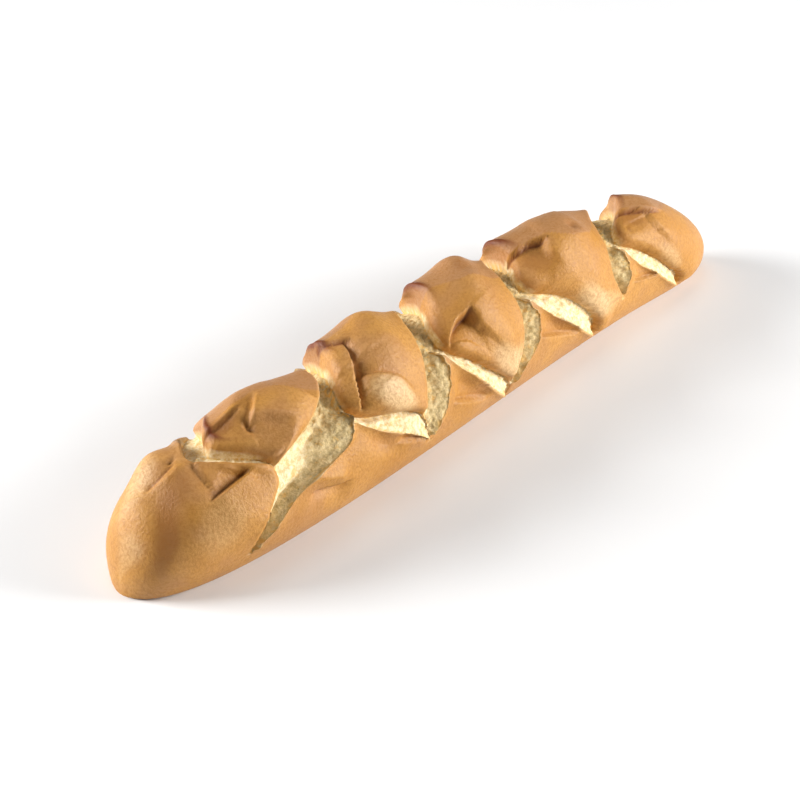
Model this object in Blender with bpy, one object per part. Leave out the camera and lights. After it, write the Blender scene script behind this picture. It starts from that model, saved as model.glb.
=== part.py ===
"""Long snipped loaf, resting on its flat underside.

One closed solid. Its axis runs along X, near end at -X, front at -Y, top at +Z. The skin is a
round-ended body that is lifted or sunk by a height worked out at each place, which is given as
millimetres along the loaf and degrees round it (0 front, 90 top, 180 back). The crust is torn
along lines that part it into blocks: the near end, then a tear, a lobe, a tear and a tooth four
times over, and the far lobe. A tooth is the piece of the side between two arms of a tear.
"""
import bpy
import numpy as np

# main sizes, in metres
half_length = 0.210
far_short = 0.0048           # how much shorter the far half is
far_from = 0.150             # where the far end's shortening begins
half_width = 0.0289          # at the ends; the middle is wider
sole = 0.0040                # how softly the side turns into the flat underside

# shape of the plain body, as shares of its sizes
middle_swell = 0.185         # added to the half width at the middle
width_taper = -0.128         # added toward +X
height_share = 0.87          # body height over body width
belly_share = 0.42           # height of the widest line over body height
end_power = 9.35             # how blunt the two ends are
far_nose = 0.20              # height of the far tip over body height
near_nose = 0.10             # the same for the near tip
nose_from = 0.5              # the near tip's height sets in beyond this share of the half length
under_power = 0.5
under_depth = 1.35           # reach of the underside's curve, so that its middle is cut off flat

# sideways run of the axis, in metres
bow = 0.0016
skew = 0.0129                # the axis leans sideways from end to end
skew_return = -0.0127
far_skew = -0.0030
far_skew_from = 0.6          # share of the half length

# All heights and lengths of the relief are in millimetres, its angles in degrees
mm = 0.001
arc = 0.6                    # millimetres of skin per degree round the loaf
hold_angles = (-48.0, -20.0)  # relief fades out toward the flat underside
least_cap = 0.2              # limits the lean close to the tips

# torn edges
round_over = (-4.0, -2.4, -0.8, 0.8, 2.4, 4.0)  # a line's corners are rounded over these degrees
ragged_turns = (3.0, 1.3)    # degrees between the wiggles of a torn edge, coarse and fine
fine_share = 0.6
calm_share = 0.9             # a lobe's near edge is this much straighter on the top
calm_angles = (48.0, 62.0)
open_widths = (0.2, 2.5)     # widths at which a tear begins to gape and gapes fully

# near end and teeth
end_lip = 1.2                # lip along the near end's torn edge
end_lip_reach = 4.0
tooth_lip = 2.2              # lips along a tooth's two edges
left_lip_reach = 2.6
right_lip_reach = 3.2
tooth_sink = 4.3             # a tooth's point is sunk to the channel's crumb

# tears
channel_depth = 4.2          # the crumb between two lobes over the top of the loaf
channel_extra = 2.2          # the channel is deepest at this angle
channel_angle = 112.0
channel_spread = 20.0
channel_front = (44.0, 60.0)  # angles over which the side's tears turn into the channel
channel_back = (134.0, 156.0)
first_shallow = 3            # later tears than this are shallow where a lobe's two edges meet
shallow_share = 0.3
shallow_width = 9.0
corner_lift = -1.6           # height of the crumb where a lobe has no width between its two tears
crag_height = 0.5            # roughness of the crumb
crag_size = (4.0, 6.5)       # millimetres along, degrees round

# lobes
lobe_widths = (1.0, 9.0)     # a lobe fades out where its edges are this close
ridge_gaps = (3.0, 6.0, 4.0)  # least distance of the ridge from the near edge, the far edge, both
edge_step = 2.2              # height of a lobe's skin over its torn edges
near_step_reach = 1.8
far_step_reach = 0.7
step_shares = (0.25, 0.75)   # the near edge's step gives way to the far edge's over this share
foot_depth = 2.6             # how deep a lobe's foot stands
foot_reach = 1.6
foot_angles = (86.0, 100.0)  # the foot's groove ends here
wall_run = 9.0               # length along the loaf of a lobe's steep face
ear_wall_run = 4.5           # the same under its ear
wall_spread = 30.0           # degrees round the ear over which the face is steeper
crisp_angles = (72.0, 94.0, 130.0, 150.0)  # a steep face has a sharp upper edge between these
crisp_wall = 0.5             # only on a lobe with a steeper face than this
crisp_power = 0.85
straight_share = 0.3         # how straight the slope from the face to the ridge is
ear_swell = 2.4
ear_swell_run = (1.0, 6.0)
ear_reach = 9.0
ear_spread = 20.0
crest = 84.0                 # angle of a lobe's highest line
rear_spread = 38.0           # how far a lobe's height reaches down the back
across_power = 2.2
front_loss = 0.1             # a lobe is this much lower at its near edge
front_loss_end = 0.45
back_angles = (94.0, 112.0)  # behind these a lobe's far part sinks more and sooner
back_drop = 0.30
back_sooner = 0.15
back_edge_loss = 0.8

# mesh
around = 230
fine_angles = 721
thick_columns = (-62.0, -40.0, 118.0, 140.0)  # angles between which the columns stand closer
thin_share = 0.34
tip_start = 0.02             # the first and last rows stand this far from the tips
least_gap = 0.08             # rows closer than this share their corners
level_height = 0.3           # corners lower than this are set on the flat underside
kept_share = 0.055           # share of the fine skin's triangles that is kept

# Lines along which the crust is torn, in order from the near end: millimetres along at each angle
tear_lines = [
    {"name": "near end edge", "ragged": 0.25, "line": [
        (-163, -26), (-159, -17), (-156, 0), (-150, 12), (-143, 21), (-137, 31), (-136, 42),
        (-139, 49), (-147, 55), (-151, 62), (-156, 68), (-160, 73), (-165, 79), (-168, 87),
        (-167, 97), (-160, 112), (-155, 135), (-138, 157), (-152, 178), (-160, 200)]},
    {"name": "lobe 1 near", "ragged": 0.5, "line": [
        (-163, -26), (-136, 44), (-137, 50), (-139, 55), (-142, 60), (-146, 66), (-149, 71),
        (-152, 76), (-156, 82), (-156, 90), (-154, 98), (-146, 113), (-143, 136), (-132, 156),
        (-152, 178), (-160, 200)]},
    {"name": "lobe 1 far", "ragged": 0.3, "line": [
        (-163, -26), (-136, 44), (-123, 51), (-113, 55), (-105, 60), (-98, 66), (-93, 72),
        (-89, 81), (-88, 92), (-88, 112), (-94, 135), (-108, 150), (-131, 157), (-152, 178),
        (-158, 196)]},
    {"name": "tooth 2 left", "ragged": 0.8, "line": [
        (-163, -26), (-158, -16), (-152, -6), (-145, 2), (-138, 9), (-132, 15), (-124, 19),
        (-115, 22), (-95, 27), (-89, 33), (-86, 41), (-87, 60), (-84, 80), (-82, 96), (-82, 115),
        (-83, 128), (-100, 147), (-124, 159), (-150, 178), (-158, 196)]},
    {"name": "tooth 2 right", "ragged": 0.35, "line": [
        (-38, -12), (-47, 0), (-58, 11), (-66, 18), (-74, 26), (-84, 37), (-87, 46), (-86, 60),
        (-83, 80), (-81, 96), (-81, 115), (-81, 128), (-66, 153), (-46, 176), (-38, 190)]},
    {"name": "lobe 2 near", "ragged": 0.5, "line": [
        (-38, -12), (-41, 5), (-42, 14), (-48, 22), (-58, 29), (-66, 33), (-74, 37), (-80, 42),
        (-85, 52), (-85, 62), (-80, 84), (-74, 100), (-70, 120), (-69, 135), (-60, 155), (-42, 176),
        (-38, 190)]},
    {"name": "lobe 2 far", "ragged": 0.12, "line": [
        (-38, -12), (-41, 5), (-41, 13), (-40, 19), (-39, 26), (-37, 33), (-35, 42), (-32, 52),
        (-30, 63), (-27, 80), (-23, 93), (-17, 112), (-16, 140), (-26, 160), (-40, 176), (-38, 190)]},
    {"name": "tooth 3 left", "ragged": 0.8, "line": [
        (-38, -12), (-35, -5), (-32, 1), (-27, 11), (-23, 20), (-20, 29), (-18, 36), (-19, 45),
        (-20, 60), (-21, 75), (-19, 90), (-12, 106), (-8, 125), (-12, 140), (-22, 158), (-37, 176),
        (-38, 190)]},
    {"name": "tooth 3 right", "ragged": 0.35, "line": [
        (24, -30), (21, -20), (15, -11), (5, 6), (-2, 19), (-8, 28), (-13, 35), (-17, 45),
        (-19, 60), (-20, 75), (-18, 90), (-11, 106), (-6, 125), (-3, 140), (11, 160), (26, 180),
        (34, 192)]},
    {"name": "lobe 3 near", "ragged": 0.5, "line": [
        (24, -30), (26, -16), (22, -3), (13, 10), (5, 23), (-1, 33), (-7, 41), (-11, 47), (-14, 56),
        (-13, 72), (-6, 90), (1, 108), (4, 140), (16, 160), (30, 180), (34, 192)]},
    {"name": "lobe 3 far", "ragged": 0.12, "line": [
        (26, -20), (27, -10), (29, 1), (34, 14), (38, 27), (40, 38), (41, 50), (40, 62), (41, 75),
        (42, 88), (48, 100), (50, 115), (48, 145), (38, 165), (31, 180), (35, 192)]},
    {"name": "tooth 4 left", "ragged": 0.8, "line": [
        (26, -20), (29, -11), (33, -5), (37, 2), (44, 8), (49, 17), (52, 26), (53, 35), (50, 45),
        (49, 60), (48, 75), (51, 88), (56, 100), (59, 120), (50, 147), (41, 166), (33, 180),
        (35, 192)]},
    {"name": "tooth 4 right", "ragged": 0.35, "line": [
        (98, -24), (92, -16), (82, -1), (71, 15), (64, 26), (57, 36), (52, 46), (50, 60), (49, 75),
        (52, 88), (57, 100), (61, 120), (65, 145), (78, 165), (90, 178), (100, 190)]},
    {"name": "lobe 4 near", "ragged": 0.5, "line": [
        (98, -24), (99, -10), (96, 1), (89, 15), (82, 29), (76, 37), (70, 44), (64, 49), (58, 55),
        (55, 63), (55, 72), (59, 84), (61, 99), (64, 118), (67, 145), (82, 165), (94, 178),
        (100, 190)]},
    {"name": "lobe 4 far", "ragged": 0.12, "line": [
        (119, -2), (119, 4), (115, 18), (113, 31), (114, 44), (116, 56), (117, 67), (119, 77),
        (122, 84), (128, 95), (133, 115), (128, 150), (120, 168), (120, 178)]},
    {"name": "tooth 5 left", "ragged": 0.8, "line": [
        (119, -2), (119, 5), (121, 12), (126, 20), (128, 29), (127, 39), (126, 48), (126, 58),
        (127, 70), (131, 84), (135, 98), (138, 115), (138, 128), (130, 150), (122, 168), (120, 178)]},
    {"name": "tooth 5 right", "ragged": 0.35, "line": [
        (169, -26), (165, -19), (161, -13), (152, 2), (143, 17), (136, 28), (130, 38), (127, 48),
        (127, 58), (128, 70), (132, 84), (136, 98), (140, 115), (142, 128), (147, 148), (158, 170),
        (166, 182)]},
    {"name": "lobe 5 near", "ragged": 0.5, "line": [
        (169, -26), (169, -11), (163, 1), (157, 13), (151, 25), (145, 36), (139, 45), (133, 53),
        (131, 61), (136, 76), (142, 86), (150, 99), (157, 125), (159, 148), (163, 170), (166, 182)]},
]

# Blocks in order: kind and rows, and for a tear the height of its crumb at its first edge, at its
# lowest place and at its last edge, and where its lowest place is
blocks = [
    ("end", 60), ("tear", 9, -0.3, -1.8, -1.4, 0.6), ("lobe", 58),
    ("tear", 14, -0.6, -5.2, 1.9, 0.42), ("tooth", 38),
    ("tear", 10, 1.4, -3.6, -3.8, 0.9), ("lobe", 56), ("tear", 12, -1.6, -4.4, 1.9, 0.14),
    ("tooth", 22),
    ("tear", 10, 1.4, -3.6, -3.8, 0.9), ("lobe", 56), ("tear", 12, -1.6, -4.6, 1.9, 0.14),
    ("tooth", 26),
    ("tear", 10, 1.4, -3.8, -4.0, 0.9), ("lobe", 56), ("tear", 12, -1.6, -4.6, 1.9, 0.14),
    ("tooth", 20),
    ("tear", 10, 1.2, -3.4, -3.6, 0.9), ("lobe", 64)]

# Lobes: the ridge where the dome begins, its height, how far the ear leans over the tear, the
# dome's spread in degrees, the share of the height that stands up steeply on the side and under
# the ear, the ear's angle, and how the far part sinks (start, end, share)
lobes = [
    {"ridge": [(-126, 43), (-118, 55), (-120, 68), (-130, 80), (-138, 90), (-128, 98), (-122, 116),
               (-116, 145), (-108, 160)],
     "high": 10.0, "lean": 1.5, "spread": 46, "cliff": 0.30, "wall": 0.35, "tip": 103,
     "close": (0.55, 1.02, 0.52)},
    {"ridge": [(-36, 4), (-48, 15), (-60, 29), (-70, 42), (-64, 60), (-60, 74), (-62, 84),
               (-68, 91), (-72, 98), (-68, 122), (-56, 150), (-34, 172)],
     "high": 13.5, "lean": 5.0, "spread": 48, "cliff": 0.32, "wall": 0.80, "tip": 114,
     "close": (0.55, 1.02, 0.52)},
    {"ridge": [(34, -6), (30, 10), (27, 24), (24, 36), (14, 58), (14, 66), (17, 76), (13, 84),
               (5, 91), (-2, 98), (8, 122), (22, 150), (36, 172)],
     "high": 12.0, "lean": 8.0, "spread": 48, "cliff": 0.30, "wall": 0.86, "tip": 113,
     "close": (0.55, 1.02, 0.52)},
    {"ridge": [(100, 6), (94, 20), (88, 34), (82, 48), (80, 60), (84, 72), (84, 84), (74, 90),
               (64, 95), (61, 102), (70, 124), (84, 150), (96, 172)],
     "high": 13.5, "lean": 9.0, "spread": 44, "cliff": 0.22, "wall": 0.84, "tip": 112,
     "close": (0.55, 1.02, 0.52)},
    {"ridge": [(172, 0), (168, 20), (165, 36), (161, 52), (160, 66), (163, 76), (160, 84),
               (154, 90), (149, 97), (152, 112), (150, 132), (164, 152), (172, 170)],
     "high": 9.0, "lean": 3.0, "spread": 46, "cliff": 0.25, "wall": 0.75, "tip": 110,
     "close": (0.25, 1.0, 1.0)},
]

# Rounded bumps and hollows: middle, half length, half width, turn, height
bumps = [
    # near end
    ((-191, 66), 7, 28, -6, -3.4), ((-177, 117), 12, 12, -10, 6.5), ((-162, 24), 18, 10, -20, 1.2),
    ((-173, 98), 2.2, 1.4, 0, -2.2),
    # first lobe
    ((-118, 56), 20, 6, 8, 1.2), ((-108, 76), 13, 10, 0, 1.6), ((-124, 96), 14, 5, -20, 1.8),
    ((-147, 82), 10, 7, -40, -2.4), ((-137, 77), 2.6, 2.0, 60, -3.6),
    # second lobe
    ((-78, 80), 9, 7, -70, 2.5), ((-44, 84), 16, 12, 0, 1.0), ((-44, 104), 9, 8, 0, 2.2), ((-61, 42),
    13, 6, -35, 2.0), ((-73, 64), 3.5, 2.2, 60, -2.0),
    # third lobe
    ((22, 86), 5, 3, 0, -1.4), ((30, 72), 15, 14, 0, 1.2), ((25, 100), 9, 9, 0, 3.5), ((24, 30),
    9, 7, -50, 1.4), ((3, 50), 9, 6, -50, -1.6),
    # fourth lobe
    ((66, 74), 7, 7, -40, -0.8), ((98, 66), 16, 13, 0, 1.4), ((98, 76), 3.2, 2.4, 0, -1.8), ((98, 32),
    12, 8, -50, 1.2),
    # fifth lobe
    ((146, 66), 7, 7, -40, -0.8), ((170, 95), 16, 12, 0, -2.0),
    # pockets of the teeth under their lips
    ((-72, 14), 10, 4.5, -40, -2.4), ((-8, 14), 10, 4.5, -45, -2.8), ((64, 18), 10, 5, -50, -2.8),
    ((139, 22), 8, 4.5, -50, -2.4), ((-112, 2), 12, 4, -25, -1.4),
]

# Folds: the line, height and reach of its left side, of its right side, width of its edge, and
# the shares of its length over which it starts and ends
folds = [
    # near end: edge of the flap, its groove, the wedge, the pocket's crease and the roll of crust
    ([(-168, 90), (-180, 86), (-190, 95), (-200, 122), (-203, 145)], 1.5, 8, 1.5, 11, 0.5, 0.1, 0.4),
    ([(-190, 98), (-182, 92), (-171, 93)], -1.6, 2.4, -0.8, 1.4, 0.5, 0.2, 0.2),
    ([(-169, 86), (-173, 71), (-176, 52)], -1.6, 7, 0.6, 4, 1.2, 0.1, 0.5),
    ([(-146, 52), (-153, 50), (-163, 48), (-174, 45)], 2.2, 7, -4.0, 8, 0.6, 0.2, 0.35),
    ([(-160, 67), (-152, 55), (-144, 47), (-137, 36)], 1.6, 3.2, -1.0, 5, 0.8, 0.1, 0.3),
    # first lobe: lip of its ear, the fold down to the pit, the shadow line, the top facet's edge
    ([(-157, 98), (-149, 92), (-142, 90), (-130, 90)], 1.8, 7, -2.0, 5, 0.5, 0.05, 0.4),
    ([(-124, 91), (-129, 84), (-135, 79), (-138, 75)], 2.2, 4, -2.0, 3, 0.5, 0.3, 0.1),
    ([(-138, 77), (-132, 75), (-128, 72), (-122, 67), (-114, 63)], 1.6, 7, -2.0, 6, 0.8, 0.05, 0.6),
    ([(-136, 94), (-125, 89)], -0.8, 1.5, -0.8, 1.5, 0.4, 0.2, 0.2),
    ([(-118, 92), (-108, 81), (-102, 72), (-97, 66)], -1.6, 7, 1.0, 4, 0.5, 0.3, 0.3),
    # second lobe: the fold beside the tongue, the upper edge of the pale bulge
    ([(-64, 92), (-67, 84), (-70, 75), (-74, 65), (-78, 55), (-80, 44)],
         -3.6, 4, 0.8, 4, 0.35, 0.2, 0.1),
    ([(-70, 104), (-68, 97), (-67, 92), (-64, 87)], 1.2, 5, -1.2, 3, 0.35, 0.1, 0.3),
    ([(-74, 66), (-65, 59), (-56, 53), (-51, 45), (-48, 33)], -2.0, 7, 1.6, 9, 0.5, 0.1, 0.4),
    # third lobe: lower edge of the top facet, lip over the hollow, ridge beside the scoop
    ([(-2, 92), (7, 85), (13, 80), (23, 77), (34, 73)], 2.6, 14, 2.6, 7, 0.4, 0.05, 0.5),
    ([(8, 63), (4, 62), (0, 63), (-8, 57), (-11, 51), (-9, 43)], -6.0, 6, 1.2, 3, 0.5, 0.04, 0.6),
    ([(6, 64), (7, 53), (12, 43), (18, 30), (23, 20)], 1.8, 9, -2.2, 6, 0.8, 0.04, 0.85),
    # fourth lobe: curled edge of its sheet, the scoop's other side, edge of the flat top
    ([(57, 92), (61, 89), (64, 85), (71, 84), (75, 80), (80, 75)], 1.8, 7, -2.2, 14, 0.35, 0.1, 0.2),
    ([(78, 79), (75, 72), (75, 64), (78, 52)], 1.0, 8, -1.2, 8, 0.6, 0.05, 0.5),
    ([(77, 82), (81, 79), (85, 73), (92, 68), (106, 67), (114, 73)], 2.2, 12, 2.2, 6, 0.4, 0.1, 0.3),
    # fifth lobe: edge of its sheet, the scoop's other side, streaks in the scoop
    ([(138, 87), (143, 81), (149, 76), (154, 71), (160, 67), (168, 67)],
         1.8, 8, -2.2, 13, 0.35, 0.05, 0.3),
    ([(155, 69), (155, 56), (158, 45), (163, 32)], 1.0, 8, -1.4, 8, 0.5, 0.05, 0.5),
    ([(141, 72), (140, 56)], -1.0, 1.5, -1.0, 1.0, 0.4, 0.2, 0.3),
    ([(146, 70), (145, 55)], -0.8, 1.5, -0.8, 1.0, 0.4, 0.2, 0.3),
    # teeth: rolls and creases
    ([(-129, 27), (-118, 20), (-109, 13), (-96, 5)], 1.9, 3.5, 1.9, 3.5, 1.4, 0.2, 0.2),
    ([(-120, 9), (-108, 3), (-98, 0)], -0.8, 2, -2.4, 5, 0.5, 0.2, 0.2),
    ([(-58, 2), (-37, -15)], -1.4, 4, 0.6, 3, 0.6, 0.2, 0.2),
    ([(-20, 9), (-7, -1), (8, -12)], -2.0, 5, 1.0, 3, 0.6, 0.2, 0.2),
    ([(50, 15), (66, 5), (84, -8)], -1.8, 5, 1.0, 3, 0.6, 0.2, 0.2),
    ([(129, 13), (139, 9), (150, 7)], -1.4, 3, 1.0, 4, 0.5, 0.2, 0.2),
]


def smooth(low, high, value):
    """0 below low, 1 above high, a soft step between."""
    t = np.clip((value - low) / (high - low), 0.0, 1.0)
    return t * t * (3.0 - 2.0 * t)


def bell(value, middle, spread):
    """1 at the middle, falling off to both sides."""
    return np.exp(-((value - middle) / spread) ** 2)


def hashed(i, j, seed):
    """A fixed value from -1 to 1 for each pair of whole numbers."""
    h = (i * 374761393 + j * 668265263 + seed * 974634777) & 0xFFFFFFFF
    h = ((h ^ (h >> 13)) * 1274126177) & 0xFFFFFFFF
    return ((h ^ (h >> 16)) & 0xFFFF) / 32767.5 - 1.0


def patches(x, y, seed):
    """Soft random field: hashed corner values blended inside each unit square."""
    i = np.floor(x).astype(np.int64)
    j = np.floor(y).astype(np.int64)
    u = smooth(0.0, 1.0, x - i)
    v = smooth(0.0, 1.0, y - j)
    low = hashed(i, j, seed) * (1 - u) + hashed(i + 1, j, seed) * u
    high = hashed(i, j + 1, seed) * (1 - u) + hashed(i + 1, j + 1, seed) * u
    return low * (1 - v) + high * v


def place_at(line, angle):
    """Where a line stands along the loaf at each angle, its corners rounded."""
    ordered = sorted((a, x) for x, a in line)
    angles = [a for a, x in ordered]
    places = [x for a, x in ordered]
    return sum(np.interp(angle + turn, angles, places) for turn in round_over) / len(round_over)


def torn_edges(angle):
    """Where each torn edge stands at each angle, ragged, and never before the edge ahead of it."""
    edges = [np.full(angle.shape, -half_length / mm)]
    for number, tear in enumerate(tear_lines):
        own_row = np.full(angle.shape, float(number))
        coarse = patches(angle / ragged_turns[0], own_row * 7.3, 5)
        fine = patches(angle / ragged_turns[1], own_row * 3.1, 6)
        calm = 1 - calm_share * smooth(*calm_angles, angle) * tear["name"].endswith("near")
        place = place_at(tear["line"], angle) + calm * tear["ragged"] * (coarse + fine_share * fine)
        edges.append(np.maximum(place, edges[-1]))
    edges.append(np.full(angle.shape, (half_length - far_short) / mm))
    return edges


def rounded(line):
    """The line with its corners cut twice, each time a quarter of the way from both ends."""
    for again in range(2):
        cut = [line[0]]
        for (x0, a0), (x1, a1) in zip(line, line[1:]):
            cut.append((0.75 * x0 + 0.25 * x1, 0.75 * a0 + 0.25 * a1))
            cut.append((0.25 * x0 + 0.75 * x1, 0.25 * a0 + 0.75 * a1))
        line = cut + [line[-1]]
    return line


def fold_lift(fold, x, angle):
    """Each side falls off from the line by its own height and reach; both fade at the ends."""
    corners, left_high, left_reach, right_high, right_reach, edge, starts, stops = fold
    line = rounded(corners)
    steps = [((b[0] - a[0]), (b[1] - a[1]) * arc) for a, b in zip(line, line[1:])]
    lengths = [float(np.hypot(dx, dy)) for dx, dy in steps]
    nearest = np.full(x.shape, np.inf)
    signed = np.zeros(x.shape)
    share = np.zeros(x.shape)
    before = 0.0
    for (x0, a0), (dx, dy), length in zip(line, steps, lengths):
        px = x - x0
        py = (angle - a0) * arc
        t = np.clip((px * dx + py * dy) / length ** 2, 0, 1)
        gap = np.hypot(px - t * dx, py - t * dy)
        closer = gap < nearest
        nearest = np.where(closer, gap, nearest)
        signed = np.where(closer, gap * np.sign(dx * py - dy * px), signed)
        share = np.where(closer, (before + t * length) / sum(lengths), share)
        before += length
    left = smooth(-edge, edge, signed)
    fade = smooth(0, starts, share) * smooth(0, stops, 1 - share)
    left_lift = left * left_high * np.exp(-np.maximum(signed, 0) / left_reach)
    right_lift = (1 - left) * right_high * np.exp(-np.maximum(-signed, 0) / right_reach)
    return fade * (left_lift + right_lift)


def bump_lift(bump, x, angle):
    """A bell, longer along its own turned axis."""
    (x0, a0), long_half, wide_half, turn, height = bump
    c = np.cos(np.radians(turn))
    s = np.sin(np.radians(turn))
    px = x - x0
    py = (angle - a0) * arc
    return height * bell(px * c + py * s, 0, long_half) * bell(py * c - px * s, 0, wide_half)


def lobe_lift(lobe, first, last, x, angle, near_open, far_open):
    """Height of a lobe, and how far its skin leans toward the near end.

    It stands up steeply from its near edge, highest under the ear, goes on to the ridge, and
    sinks toward its far edge, more so at the back.
    """
    ridge_limit = np.maximum(last - ridge_gaps[1], first + ridge_gaps[2])
    ridge = np.clip(place_at(lobe["ridge"], angle), first + ridge_gaps[0], ridge_limit)
    run = x - first
    rest = last - x
    share = run / np.maximum(last - first, 1)
    room = smooth(*lobe_widths, last - first)
    slope = np.clip(run / (ridge - first), 0, 1)
    under_ear = bell(angle, lobe["tip"], wall_spread)
    wall = lobe["cliff"] + (lobe["wall"] - lobe["cliff"]) * under_ear
    reach = np.clip(run / (wall_run + (ear_wall_run - wall_run) * under_ear), 0, 1)
    crisp = smooth(*crisp_angles[:2], angle) * (1 - smooth(*crisp_angles[2:], angle))
    crisp = crisp * (lobe["wall"] > crisp_wall)
    face = np.sqrt(1 - (1 - reach) ** 2) * (1 - crisp) + reach ** crisp_power * crisp
    gentle = straight_share * slope + (1 - straight_share) * smooth(0, 1, slope)
    rise = wall * face + (1 - wall) * gentle
    start, end, drop = lobe["close"]
    back = smooth(*back_angles, angle)
    fall = 1 - (drop + back_drop * back) * smooth(start - back_sooner * back, end, share)
    spread = np.where(angle > crest, rear_spread, lobe["spread"])
    across = np.exp(-np.abs((angle - crest) / spread) ** across_power)
    front = 1 - front_loss * (1 - smooth(0, front_loss_end, share))
    ear = bell(np.maximum(run, 0), 0, ear_reach) * bell(angle, lobe["tip"], ear_spread)
    lift = lobe["high"] * across * rise * front * fall + ear_swell * ear * smooth(*ear_swell_run, run)
    to_far = smooth(*step_shares, share)
    near_edge = (1 - to_far) * near_open * (1 - np.exp(-run / near_step_reach))
    far_edge = to_far * far_open * (1 - back_edge_loss * back) * (1 - np.exp(-rest / far_step_reach))
    foot = near_open * np.exp(-run / foot_reach) * (1 - smooth(*foot_angles, angle))
    lift = lift + edge_step * (near_edge + far_edge) - foot_depth * foot
    return room * lift, room * lobe["lean"] * ear * smooth(0, ear_wall_run, run)


def on_top(angle):
    """1 over the top of the loaf, where the tears run together into channels; 0 on its sides."""
    return smooth(*channel_front, angle) * (1 - smooth(*channel_back, angle))


def tear_lift(heights, share, x, angle, wide, corner):
    """Crumb of a tear: three heights on the side, evened out in a lobe's corner, and a channel."""
    before, lowest, after, valley = heights
    first_height = before if after > before else corner_lift + (before - corner_lift) * corner
    last_height = corner_lift + (after - corner_lift) * corner if after <= before else after
    lowest = lowest * (shallow_share + (1 - shallow_share) * corner)
    top = on_top(angle)
    down = first_height + (lowest - first_height) * smooth(0, valley, share)
    up = lowest + (last_height - lowest) * (share - valley) / (1 - valley)
    channel = channel_depth + channel_extra * bell(angle, channel_angle, channel_spread)
    crags = crag_height * patches(x / crag_size[0], angle / crag_size[1], 11)
    return wide * (np.where(share < valley, down, up) * (1 - top) - channel * top + crags)


def tooth_lift(first, last, x, angle, left_open, right_open):
    """A tooth has a raised lip along each torn edge, and its point is sunk in the channel."""
    left_lip = np.exp(-(x - first) / left_lip_reach) * left_open
    right_lip = np.exp(-(last - x) / right_lip_reach) * right_open
    top = on_top(angle)
    return tooth_lip * (left_lip + right_lip) * (1 - top) - tooth_sink * top


def body_points(x, angle, lift, lean):
    """Points of the skin, in metres: the plain body, lifted along its own section's direction."""
    stretch = (half_length - far_from) / (half_length - far_from - far_short)
    straight = far_from / mm
    t = np.where(x > straight, straight + (x - straight) * stretch, x) * mm / half_length
    cap = np.sqrt(np.maximum(1 - np.abs(t) ** end_power, 0))
    half = half_width / mm * (1 + width_taper * t + middle_swell * (1 - t * t))
    aside = bow * (1 - t * t) + skew * t + skew_return * t ** 3 + far_skew * smooth(far_skew_from, 1, t)
    tall = 2 * half * height_share
    nose = (far_nose + (near_nose - far_nose) * smooth(nose_from, 1, -t)) * tall
    belly = nose + (belly_share * tall - nose) * cap
    top = nose + (tall - nose) * cap
    across = np.cos(np.radians(angle))
    up = np.sin(np.radians(angle))
    under = belly - under_depth * belly_share * tall * cap ** under_power * np.abs(up)
    z = np.where(up > 0, belly + (top - belly) * up, under)
    soft = sole / mm
    z = np.where(z > soft, z, np.where(z < -soft, 0, (z + soft) ** 2 / (4 * soft)))
    hold = cap * smooth(*hold_angles, np.where(angle > 90, 180 - angle, angle))
    along = x - lean * hold / np.maximum(cap, least_cap)
    sideways = aside / mm - half * cap * across - across * lift * hold
    return np.stack([along, sideways, z + up * lift * hold], -1) * mm


def skin(share, angle):
    """Points of the skin for rows and columns: share of the way through a block, and degrees."""
    edges = torn_edges(angle[0])
    opening = [smooth(*open_widths, after - before) for before, after in zip(edges, edges[1:])]
    x = np.zeros(angle.shape)
    lift = np.zeros(angle.shape)
    lean = np.zeros(angle.shape)
    row = 0
    lobe_shapes = iter(lobes)
    for number, (kind, rows, *heights) in enumerate(blocks):
        here = slice(row, row + rows)
        row += rows
        first = edges[number][None, :]
        last = edges[number + 1][None, :]
        x[here] = first + (last - first) * share[here]
        place = (x[here], angle[here])
        before = opening[max(number - 1, 0)]
        after = opening[min(number + 1, len(blocks) - 1)] * (number + 1 < len(blocks))
        if kind == "lobe":
            lift[here], lean[here] = lobe_lift(next(lobe_shapes), first, last, *place, before, after)
        elif kind == "tear":
            beside = number + 1 if blocks[number + 1][0] == "lobe" else number - 1
            corner = smooth(0, shallow_width, edges[beside + 1] - edges[beside])
            corner = corner if number > first_shallow else 1.0
            lift[here] = tear_lift(heights, share[here], *place, opening[number], corner)
        elif kind == "tooth":
            lift[here] = tooth_lift(first, last, *place, before, after)
        else:
            lift[here] = end_lip * np.exp(-(last - x[here]) / end_lip_reach) * after
    for bump in bumps:
        lift += bump_lift(bump, x, angle)
    for fold in folds:
        lift += fold_lift(fold, x, angle)
    return body_points(x, angle, lift, lean)


def grid():
    """Share of the way through its block for each row, crowded toward the tips, and angles."""
    shares = [np.linspace(0, 1, rows) for kind, rows, *heights in blocks]
    quarter = np.pi / 2
    shares[0] = 1 - np.cos(quarter * np.linspace(tip_start, 1, blocks[0][1]))
    shares[-1] = np.sin(quarter * np.linspace(0, 1 - tip_start, blocks[-1][1]))
    degrees = np.linspace(-90, 270, fine_angles)
    crowd = smooth(*thick_columns[:2], degrees) * (1 - smooth(*thick_columns[2:], degrees))
    crowd = thin_share + (1 - thin_share) * crowd
    along = np.concatenate([[0], np.cumsum((crowd[1:] + crowd[:-1]) / 2)])
    columns = np.interp(np.linspace(0, along[-1], around, endpoint=False), along, degrees)
    return np.meshgrid(np.concatenate(shares), columns, indexing="ij")


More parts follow.
